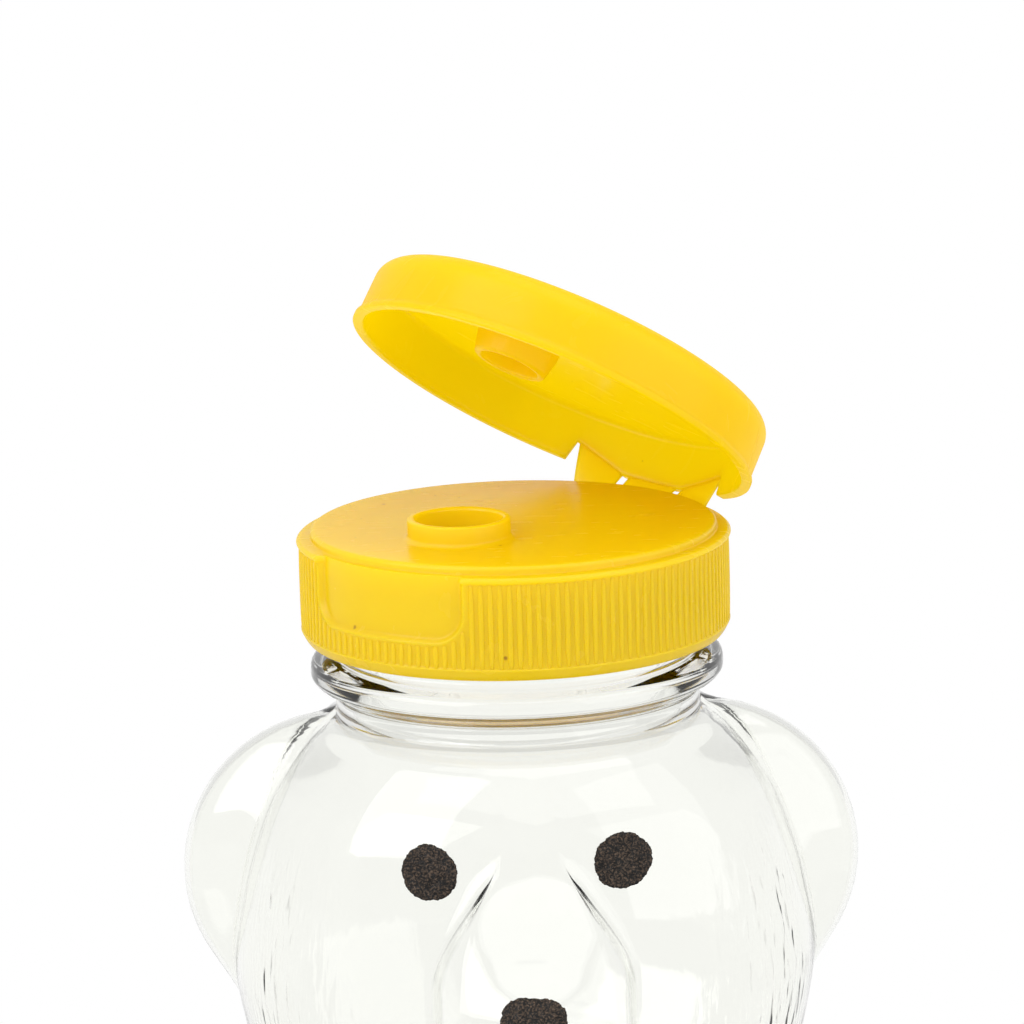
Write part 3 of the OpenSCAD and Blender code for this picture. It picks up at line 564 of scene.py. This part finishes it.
def grip_ribs(material):
    """The grip ribs, made and placed by a node tree. They are short under the recess and beside the hinge."""
    tree = bpy.data.node_groups.new("grip_ribs", "GeometryNodeTree")
    face = tree.interface
    face.new_socket("Geometry", in_out="OUTPUT", socket_type="NodeSocketGeometry")
    values = {}

    def size(label, value, kind="NodeSocketFloat"):
        values[face.new_socket(label, in_out="INPUT", socket_type=kind).identifier] = value

    size("Count", 144, "NodeSocketInt")
    size("Root radius", (rib_root_radius - 0.02) * MM)
    size("Depth", 0.17 * MM)
    size("Half width", 0.29 * MM)
    size("Low", (-cap_height + hem_height - 0.1) * MM)
    size("High", (-deck_step - 0.5) * MM)
    size("Recess half width", (recess_half_width + 0.45) * MM)
    size("Recess low", -(recess_drop + 0.45) * MM)
    size("Recess corner", (recess_corner + 0.45) * MM)
    size("Slot inner", wing_inner * MM)
    size("Slot outer", slot_half_width * MM)
    size("Slot low", (slot_low - 0.15) * MM)
    size("Material", material, "NodeSocketMaterial")
    given = tree.nodes.new("NodeGroupInput").outputs
    out = tree.nodes.new("NodeGroupOutput")

    def link(a, b):
        tree.links.new(a, b)

    def sum_of(kind, *terms):
        node = tree.nodes.new("ShaderNodeMath")
        node.operation = kind
        for socket, term in zip(node.inputs, terms):
            if isinstance(term, (int, float)):
                socket.default_value = term
            else:
                link(term, socket)
        return node.outputs[0]

    def vector(**parts):
        node = tree.nodes.new("ShaderNodeCombineXYZ")
        for axis, term in parts.items():
            link(term, node.inputs[axis])
        return node.outputs[0]

    def choose(test, yes, no):
        return sum_of("ADD", sum_of("MULTIPLY", test, yes), sum_of("MULTIPLY", sum_of("SUBTRACT", 1.0, test), no))

    def position():
        node = tree.nodes.new("ShaderNodeSeparateXYZ")
        link(tree.nodes.new("GeometryNodeInputPosition").outputs[0], node.inputs[0])
        return node.outputs

    spots = tree.nodes.new("GeometryNodeMeshCircle")
    link(given["Count"], spots.inputs["Vertices"])
    link(given["Root radius"], spots.inputs["Radius"])
    here = position()
    side = sum_of("ABSOLUTE", here["Y"])
    # In front the ribs end at the lower edge of the thumb recess
    flat_half = sum_of("SUBTRACT", given["Recess half width"], given["Recess corner"])
    reach = sum_of("MINIMUM", sum_of("MAXIMUM", sum_of("SUBTRACT", side, flat_half), 0.0), given["Recess corner"])
    corner_squared = sum_of("MULTIPLY", given["Recess corner"], given["Recess corner"])
    fall = sum_of("SQRT", sum_of("SUBTRACT", corner_squared, sum_of("MULTIPLY", reach, reach)))
    under = sum_of("ADD", given["Recess low"], sum_of("SUBTRACT", given["Recess corner"], fall))
    in_front = sum_of("MULTIPLY", sum_of("LESS_THAN", here["X"], 0.0),
                      sum_of("LESS_THAN", side, given["Recess half width"]))
    # Beside the hinge they end at the sloping floor of the slot
    slope = tree.nodes.new("ShaderNodeMapRange")
    for label, term in (("Value", side), ("From Min", given["Slot inner"]), ("From Max", given["Slot outer"]),
                        ("To Min", given["High"]), ("To Max", given["Slot low"])):
        link(term, slope.inputs[label])
    at_hinge = sum_of("MULTIPLY", sum_of("GREATER_THAN", here["X"], 0.0),
                      sum_of("LESS_THAN", side, given["Slot outer"]))
    top = choose(in_front, under, choose(at_hinge, slope.outputs["Result"], given["High"]))
    half_length = sum_of("MULTIPLY", sum_of("SUBTRACT", top, given["Low"]), 0.5)
    lifted = tree.nodes.new("GeometryNodeSetPosition")
    link(spots.outputs[0], lifted.inputs["Geometry"])
    link(vector(Z=sum_of("ADD", given["Low"], half_length)), lifted.inputs["Offset"])
    # One rib is a ball drawn out to a bar with soft ends, half sunk in the skirt
    ball = tree.nodes.new("GeometryNodeMeshUVSphere")
    ball.inputs["Segments"].default_value = 12
    ball.inputs["Rings"].default_value = 14
    ball.inputs["Radius"].default_value = 1.0
    place = position()
    height = sum_of("MULTIPLY", place["Z"], 0.999)
    across = sum_of("SQRT", sum_of("SUBTRACT", 1.0, sum_of("MULTIPLY", height, height)))
    fuller = sum_of("DIVIDE", sum_of("POWER", across, 0.35), across)
    bar = tree.nodes.new("GeometryNodeSetPosition")
    link(ball.outputs["Mesh"], bar.inputs["Geometry"])
    link(vector(X=sum_of("MULTIPLY", place["X"], fuller), Y=sum_of("MULTIPLY", place["Y"], fuller), Z=place["Z"]),
         bar.inputs["Position"])
    placed = tree.nodes.new("GeometryNodeInstanceOnPoints")
    link(lifted.outputs[0], placed.inputs["Points"])
    link(bar.outputs[0], placed.inputs["Instance"])
    link(vector(Z=sum_of("ARCTAN2", here["Y"], here["X"])), placed.inputs["Rotation"])
    link(vector(X=given["Depth"], Y=given["Half width"], Z=half_length), placed.inputs["Scale"])
    real = tree.nodes.new("GeometryNodeRealizeInstances")
    link(placed.outputs[0], real.inputs[0])
    soft = tree.nodes.new("GeometryNodeSetShadeSmooth")
    link(real.outputs[0], soft.inputs[0])
    finish = tree.nodes.new("GeometryNodeSetMaterial")
    link(soft.outputs[0], finish.inputs[0])
    link(given["Material"], finish.inputs["Material"])
    link(finish.outputs[0], out.inputs[0])

    maker = bpy.data.objects.new("rib_maker", bpy.data.meshes.new("rib_maker"))
    bpy.context.scene.collection.objects.link(maker)
    modifier = maker.modifiers.new("ribs", "NODES")
    modifier.node_group = tree
    for identifier, value in values.items():
        modifier[identifier] = value
    graph = bpy.context.evaluated_depsgraph_get()
    mesh = bpy.data.meshes.new_from_object(maker.evaluated_get(graph))
    maker.modifiers.remove(modifier)
    bpy.data.objects.remove(maker)
    mesh.name = "grip_ribs"
    mesh.transform(Matrix.Translation((0, 0, deck_z * MM)) @ Matrix.Rotation(math.radians(90 - cap_clocking), 4, "Z"))
    piece = bpy.data.objects.new("grip_ribs", mesh)
    bpy.context.scene.collection.objects.link(piece)
    return piece


def face_surface(x, z):
    """Angle and radius of the face at points (x, z), read off a fine grid of the shell."""
    heights = np.linspace(z.min() - 0.1, z.max() + 0.1, 40)
    reach = math.asin((np.abs(x).max() + 1) / head_half_depth)
    a = np.linspace(-reach, reach, 161)
    angle, radius = [], []
    for h in heights:
        r = body_radius(a, h)
        across = r * np.sin(a)
        angle.append(np.interp(x, across, a))
        radius.append(np.interp(x, across, r))
    place = (z - heights[0]) / (heights[1] - heights[0])
    low = np.clip(place.astype(int), 0, len(heights) - 2)
    part, column = place - low, np.arange(len(x))
    angle, radius = np.array(angle), np.array(radius)
    return tuple(g[low, column] * (1 - part) + g[low + 1, column] * part for g in (angle, radius))


def print_patch(name, u0, v0, width, height, square, seed, material):
    """Patch of ink on the shell with a slightly ragged edge, as a closed skin from its middle and back."""
    tilt = math.radians(print_tilt)
    t = np.linspace(0, 2 * math.pi, 289)[:-1]
    ragged = sum(0.016 / (1 + k / 16) * np.sin(k * t + seed * k * k) for k in (3, 5, 9, 14, 23, 31, 43, 58, 71))
    across, along = (np.sign(f(t)) * np.abs(f(t)) ** (2 / square) for f in (np.cos, np.sin))
    shares = np.linspace(0.04, 1, 13)
    rings = []
    for lift, row_shares in ((0.015, shares), (0.09, shares[::-1])):
        for k in row_shares:
            lump = k * (1 + ragged * k ** 3)
            u, v = u0 + width / 2 * across * lump, v0 + height / 2 * along * lump
            x = print_slip + u * math.cos(tilt) - v * math.sin(tilt)
            z = eye_z + u * math.sin(tilt) + v * math.cos(tilt)
            edge = 0.03 if k == 1 and lift > 0.05 else 0
            a, r = face_surface(x, z)
            r = r + lift - edge
            rings.append(np.stack([r * np.sin(a), -r * np.cos(a), z], 1) * MM)
    return grid_piece(name, rings, material)


def new_material(name):
    material = bpy.data.materials.new(name)
    material.use_nodes = True
    return material, material.node_tree, material.node_tree.nodes["Principled BSDF"]


def noise(tree, scale, detail, stretch=(1, 1, 1), distortion=0.0):
    """Noise in the piece's own metres, drawn out along an axis by stretch."""
    place = tree.nodes.new("ShaderNodeTexCoord")
    drawn = tree.nodes.new("ShaderNodeMapping")
    drawn.inputs["Scale"].default_value = stretch
    grain = tree.nodes.new("ShaderNodeTexNoise")
    grain.inputs["Scale"].default_value = scale
    grain.inputs["Detail"].default_value = detail
    grain.inputs["Distortion"].default_value = distortion
    tree.links.new(place.outputs["Object"], drawn.inputs["Vector"])
    tree.links.new(drawn.outputs["Vector"], grain.inputs["Vector"])
    return grain.outputs["Fac"]


def between_values(tree, factor, low, high, start=0.0, end=1.0):
    node = tree.nodes.new("ShaderNodeMapRange")
    tree.links.new(factor, node.inputs["Value"])
    for label, value in (("From Min", start), ("From Max", end), ("To Min", low), ("To Max", high)):
        node.inputs[label].default_value = value
    return node.outputs["Result"]


def between_colours(tree, factor, a, b):
    node = tree.nodes.new("ShaderNodeMix")
    node.data_type = "RGBA"
    tree.links.new(factor, node.inputs["Factor"])
    for socket, value in (("A", a), ("B", b)):
        if isinstance(value, tuple):
            node.inputs[socket].default_value = (*value, 1)
        else:
            tree.links.new(value, node.inputs[socket])
    return node.outputs["Result"]


def combine(tree, kind, a, b):
    node = tree.nodes.new("ShaderNodeMath")
    node.operation = kind
    tree.links.new(a, node.inputs[0])
    tree.links.new(b, node.inputs[1])
    return node.outputs["Value"]


def bump(tree, height, strength, distance, under=None):
    node = tree.nodes.new("ShaderNodeBump")
    node.inputs["Strength"].default_value = strength
    node.inputs["Distance"].default_value = distance
    tree.links.new(height, node.inputs["Height"])
    if under is not None:
        tree.links.new(under, node.inputs["Normal"])
    return node.outputs["Normal"]


def specks(tree, scale, size, cover_scale, cover):
    """Dots of one size, one in each cell, only where a slow noise is over cover."""
    place = tree.nodes.new("ShaderNodeTexCoord")
    cells = tree.nodes.new("ShaderNodeTexVoronoi")
    cells.inputs["Scale"].default_value = scale
    tree.links.new(place.outputs["Object"], cells.inputs["Vector"])
    dots = between_values(tree, cells.outputs["Distance"], 1.0, 0.0, size / 2, size)
    patches = between_values(tree, noise(tree, cover_scale, 1), 0.0, 1.0, cover, cover + 0.08)
    return combine(tree, "MULTIPLY", dots, patches)


def dust(tree):
    """Specks of dirt on used plastic: a few large ones, and fine ones in patches."""
    return combine(tree, "MAXIMUM", specks(tree, 190, 0.05, 35, 0.52), specks(tree, 650, 0.09, 70, 0.56))


def clear_pet():
    """Clear blown plastic with slow ripples in its wall, short strokes of fur on the cheeks and a faint haze."""
    material, tree, shader = new_material("clear_pet")
    shader.inputs["Base Color"].default_value = (0.962, 0.966, 0.938, 1)
    shader.inputs["Transmission Weight"].default_value = 1.0
    shader.inputs["IOR"].default_value = 1.5
    ripple = noise(tree, 55, 1.5)
    streak = noise(tree, 420, 2, stretch=(1, 1, 0.18))
    place = tree.nodes.new("ShaderNodeSeparateXYZ")
    tree.links.new(tree.nodes.new("ShaderNodeTexCoord").outputs["Object"], place.inputs[0])
    aside = tree.nodes.new("ShaderNodeMath")
    aside.operation = "ABSOLUTE"
    tree.links.new(place.outputs["X"], aside.inputs[0])
    cheeks = combine(tree, "MULTIPLY", between_values(tree, aside.outputs["Value"], 0.0, 1.0, 0.011, 0.016),
                     between_values(tree, place.outputs["Y"], 1.0, 0.0, -0.012, -0.008))
    cheeks = combine(tree, "MULTIPLY", cheeks, between_values(tree, place.outputs["Z"], 0.0, 1.0, 0.103, 0.109))
    cheeks = combine(tree, "MULTIPLY", cheeks, between_values(tree, place.outputs["Z"], 1.0, 0.0, 0.130, 0.137))
    strokes = between_values(tree, noise(tree, 900, 1, stretch=(1, 1, 0.22)), 0.0, 1.0, 0.42, 0.72)
    normal = bump(tree, ripple, 0.12, 0.0006)
    normal = bump(tree, streak, 0.05, 0.0001, under=normal)
    normal = bump(tree, combine(tree, "MULTIPLY", strokes, cheeks), 0.6, 0.00008, under=normal)
    tree.links.new(normal, shader.inputs["Normal"])
    tree.links.new(between_values(tree, ripple, 0.01, 0.06), shader.inputs["Roughness"])
    return material


def yellow_polypropylene(name, low, high, glow):
    """Moulded yellow plastic. Glow is the share of the light that passes on through a wall."""
    material, tree, shader = new_material(name)
    clean = between_colours(tree, noise(tree, 60, 4), low, high)
    tree.links.new(between_colours(tree, dust(tree), clean, (0.30, 0.12, 0.01)), shader.inputs["Base Color"])
    grain = noise(tree, 2600, 3)
    scuff = noise(tree, 240, 5, stretch=(1, 3.5, 1), distortion=0.6)
    normal = bump(tree, grain, 0.25, 0.00004)
    normal = bump(tree, scuff, 0.10, 0.00006, under=normal)
    tree.links.new(normal, shader.inputs["Normal"])
    tree.links.new(between_values(tree, scuff, 0.16, 0.34), shader.inputs["Roughness"])
    shader.inputs["Subsurface Weight"].default_value = 0.5
    shader.inputs["Subsurface Radius"].default_value = (1.0, 0.95, 0.2)
    shader.inputs["Subsurface Scale"].default_value = 0.0012
    through = tree.nodes.new("ShaderNodeBsdfTranslucent")
    through.inputs["Color"].default_value = (1.0, 0.89, 0.015, 1)
    mix = tree.nodes.new("ShaderNodeMixShader")
    mix.inputs["Fac"].default_value = glow
    tree.links.new(shader.outputs["BSDF"], mix.inputs[1])
    tree.links.new(through.outputs["BSDF"], mix.inputs[2])
    tree.links.new(mix.outputs["Shader"], tree.nodes["Material Output"].inputs["Surface"])
    return material


def printed_ink():
    material, tree, shader = new_material("printed_ink")
    speck = noise(tree, 5200, 4, distortion=0.5)
    # Lighter brown specks in the ink: painted highlights that stand in for glints caught on the ink's raised grains.
    painted_glint_mask = between_values(tree, speck, 0.0, 1.0, 0.46, 0.80)
    colour = between_colours(tree, painted_glint_mask, (0.0015, 0.001, 0.0008), (0.13, 0.085, 0.055))
    tree.links.new(colour, shader.inputs["Base Color"])
    lumps = bump(tree, noise(tree, 900, 3, distortion=0.8), 0.9, 0.0004)
    tree.links.new(bump(tree, speck, 0.9, 0.00015, under=lumps), shader.inputs["Normal"])
    tree.links.new(between_values(tree, noise(tree, 1700, 2), 0.15, 0.6, 0.35, 0.55), shader.inputs["Roughness"])
    shader.inputs["Specular IOR Level"].default_value = 0.25
    return material


def foam():
    material, tree, shader = new_material("foam")
    place = tree.nodes.new("ShaderNodeTexCoord")
    cells = tree.nodes.new("ShaderNodeTexVoronoi")
    cells.inputs["Scale"].default_value = 1500
    tree.links.new(place.outputs["Object"], cells.inputs["Vector"])
    colour = between_colours(tree, cells.outputs["Distance"], (0.70, 0.70, 0.66), (0.86, 0.86, 0.83))
    tree.links.new(colour, shader.inputs["Base Color"])
    tree.links.new(bump(tree, cells.outputs["Distance"], 0.4, 0.00005), shader.inputs["Normal"])
    shader.inputs["Roughness"].default_value = 0.85
    return material


def studio():
    """White floor that keeps the object's shadow, white background, two soft lamps."""
    size, below = 3.0, -0.0005
    mesh = bpy.data.meshes.new("floor")
    mesh.from_pydata([(-size, -size, below), (size, -size, below), (size, size, below), (-size, size, below)],
                     [], [(0, 1, 2, 3)])
    floor = bpy.data.objects.new("floor", mesh)
    bpy.context.scene.collection.objects.link(floor)
    material, tree, shader = new_material("floor_white")
    shader.inputs["Base Color"].default_value = (0.92, 0.92, 0.92, 1)
    shader.inputs["Roughness"].default_value = 0.8
    place = tree.nodes.new("ShaderNodeTexCoord")
    away = tree.nodes.new("ShaderNodeVectorMath")
    away.operation = "LENGTH"
    tree.links.new(place.outputs["Object"], away.inputs[0])
    far = between_values(tree, away.outputs["Value"], 0.0, 1.0, 0.16, 0.34)
    path = tree.nodes.new("ShaderNodeLightPath")
    beyond = combine(tree, "MULTIPLY", far, path.outputs["Is Camera Ray"])
    clear = combine(tree, "MAXIMUM", path.outputs["Is Transmission Ray"], path.outputs["Is Glossy Ray"])
    share = combine(tree, "MAXIMUM", beyond, clear)
    white = tree.nodes.new("ShaderNodeEmission")
    white.inputs["Strength"].default_value = 1.0
    mix = tree.nodes.new("ShaderNodeMixShader")
    tree.links.new(share, mix.inputs["Fac"])
    tree.links.new(shader.outputs["BSDF"], mix.inputs[1])
    tree.links.new(white.outputs["Emission"], mix.inputs[2])
    tree.links.new(mix.outputs["Shader"], tree.nodes["Material Output"].inputs["Surface"])
    mesh.materials.append(material)

    world = bpy.data.worlds.new("studio")
    bpy.context.scene.world = world
    world.use_nodes = True
    tree = world.node_tree
    light = tree.nodes["Background"]
    light.inputs["Color"].default_value = (1, 1, 1, 1)
    light.inputs["Strength"].default_value = 1.0
    white = tree.nodes.new("ShaderNodeBackground")
    white.inputs["Strength"].default_value = 1.0
    path = tree.nodes.new("ShaderNodeLightPath")
    seen = combine(tree, "MAXIMUM", path.outputs["Is Camera Ray"], path.outputs["Is Transmission Ray"])
    mix = tree.nodes.new("ShaderNodeMixShader")
    tree.links.new(seen, mix.inputs["Fac"])
    tree.links.new(light.outputs["Background"], mix.inputs[1])
    tree.links.new(white.outputs["Background"], mix.inputs[2])
    tree.links.new(mix.outputs["Shader"], tree.nodes["World Output"].inputs["Surface"])

    for name, place, size, power in (("key", (-0.50, -0.35, 0.55), 0.60, 2.4), ("fill", (0.5, -0.3, 0.35), 0.60, 0.9),
                                    ("top", (0.05, -0.05, 0.75), 0.60, 1.2)):
        lamp = bpy.data.lights.new(name, "AREA")
        lamp.shape = "SQUARE"
        lamp.size = size
        lamp.energy = power
        holder = bpy.data.objects.new(name, lamp)
        holder.location = place
        aim = Vector((0, 0, 0.13)) - Vector(place)
        holder.rotation_euler = aim.to_track_quat("-Z", "Y").to_euler()
        bpy.context.scene.collection.objects.link(holder)


def camera():
    """The photograph's viewpoint: just left of the face, 12 degrees above, close on the cap and head."""
    tilt, roll, turn = math.radians(12.246), math.radians(1.593), math.radians(-1.8)
    distance, scale = 500.0, 10.427
    offset = Vector(((513.055 - 512) / scale, -(521.583 - 512) / scale))
    ahead = Vector((0, math.cos(tilt), -math.sin(tilt)))
    up = Vector((0, math.sin(tilt), math.cos(tilt)))
    side = Vector((1, 0, 0))
    right = side * math.cos(roll) - up * math.sin(roll)
    above = side * math.sin(roll) + up * math.cos(roll)
    place = -right * offset.x - above * offset.y - ahead * distance
    spin = Matrix.Rotation(turn, 3, "Z")
    right, above, ahead, place = (spin @ v for v in (right, above, ahead, place))
    matrix = Matrix((right, above, -ahead)).transposed().to_4x4()
    matrix.translation = (place + Vector((0, 0, deck_z))) * MM
    data = bpy.data.cameras.new("camera")
    data.lens = scale * distance / 1024 * data.sensor_width
    view = bpy.data.objects.new("camera", data)
    view.matrix_world = matrix
    bpy.context.scene.collection.objects.link(view)
    bpy.context.scene.camera = view


def place_piece(piece, body, slot, *nodes):
    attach(piece, body)
    if nodes:
        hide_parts(*nodes)


bpy.context.scene.view_settings.view_transform = "Standard"
studio()
camera()

place_piece(bear_shell(clear_pet()), "bottle_body", "clear_plastic", "bottle_torso", "bottle_head")
ink = printed_ink()
place_piece(print_patch("eye_left_print", -9.0, 0, 5.1, 5.1, 2, 1.0, ink), "bottle_body", "ink", "eye_left")
place_piece(print_patch("eye_right_print", 9.0, 0, 5.5, 5.06, 2, 2.3, ink), "bottle_body", "ink", "eye_right")
place_piece(print_patch("nose_print", -0.45, -11.6, 6.2, 5.0, 2.8, 3.7, ink), "bottle_body", "ink", "nose")
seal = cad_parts["seal_ring"].data
seal.materials.clear()
seal.materials.append(foam())

# The cap and the lid are one moulding of one yellow plastic. The cap's copy is painted lighter to make up for the
# shade that the open lid casts on the deck. The lid's copy is painted darker to hold back its outside, where the
# lamps fall strongest. Both are painted light and shade.
cap_yellow_lightened_for_shade = yellow_polypropylene("cap_yellow_lightened_for_shade", (0.96, 0.665, 0.005), (0.99, 0.70, 0.008), 0.45)
lid_yellow_darkened_for_light = yellow_polypropylene("lid_yellow_darkened_for_light", (0.92, 0.655, 0.006), (0.95, 0.69, 0.010), 0.7)
place_piece(cap_skin(cap_yellow_lightened_for_shade), "cap", "yellow_plastic", "cap_base")
place_piece(grip_ribs(cap_yellow_lightened_for_shade), "cap", "yellow_plastic")
place_piece(lid_skin(lid_yellow_darkened_for_light), "lid", "yellow_plastic", "flip_lid")

# The films run a little way into the walls at both ends, as one moulding
root = 0.3
films = (("middle_film", "hinge_band", (-band_half_width, cap_film_z - root), (band_half_width, cap_film_z - root),
          (-band_half_width, lid_film_z + root), (band_half_width, lid_film_z + root)),
         ("left_film", "hinge_wing_left", (wing_inner, cap_film_z - root), (hinge_half_width, slot_low - root),
          (wing_inner, lid_film_z + root), (lid_wing_half_width, wing_rise + root)),
         ("right_film", "hinge_wing_right", (-hinge_half_width, slot_low - root), (-wing_inner, cap_film_z - root),
          (-lid_wing_half_width, wing_rise + root), (-wing_inner, lid_film_z + root)))
for name, node, cap_0, cap_1, lid_0, lid_1 in films:
    film_mesh = film_piece(name, (cap_0, cap_1), (lid_0, lid_1), cap_yellow_lightened_for_shade)
    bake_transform(film_mesh)
    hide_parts(node)
